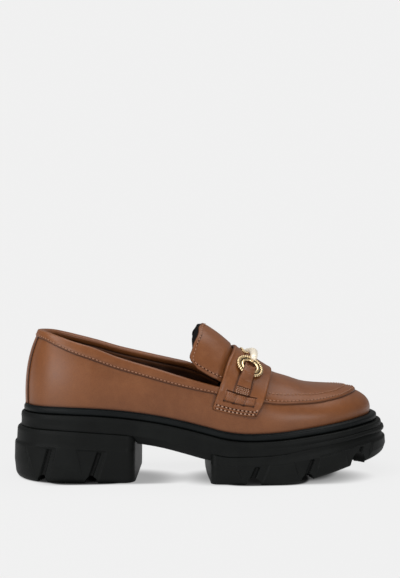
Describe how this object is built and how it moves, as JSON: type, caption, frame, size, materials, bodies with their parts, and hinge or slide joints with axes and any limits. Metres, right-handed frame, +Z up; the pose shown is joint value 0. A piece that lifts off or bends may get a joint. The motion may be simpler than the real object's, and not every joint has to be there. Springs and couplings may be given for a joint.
{
  "type": "lug-sole loafer",
  "caption": "Chunky lug-sole loafer with moccasin apron, high tongue and saddle strap carrying a snaffle-bit ornament, on a thick two-part treaded sole",
  "frame": {"origin": "on the floor, under the middle of the shoe's length and width", "axes": "+X from the heel to the toe, +Y to the inner (medial) side, +Z up"},
  "size_m": [0.2828, 0.1041, 0.1139],
  "materials": {
    "sole_rubber": "matt moulded black rubber",
    "welt_rubber": "satin black rubber rand",
    "lining": "soft black lining",
    "upper_leather": "smooth mid-brown leather, soft shine",
    "strap_leather": "smooth mid-brown leather, padded strap",
    "hardware": "polished light gold"
  },
  "bodies": {
    "root": {"heel": "sole_rubber", "outsole": "sole_rubber", "midsole": "sole_rubber", "welt": "welt_rubber", "insole": "lining", "upper": "upper_leather", "apron": "upper_leather", "saddle": "strap_leather", "tongue": "upper_leather", "back_strap": "upper_leather", "collar_binding": "upper_leather", "bit_bar": "hardware", "bit_ring_outer": "hardware", "bit_ring_inner": "hardware", "ring_tab_outer": "strap_leather", "ring_tab_inner": "strap_leather", "lace_outer": "strap_leather", "lace_inner": "strap_leather"}
  },
  "joints": []
}
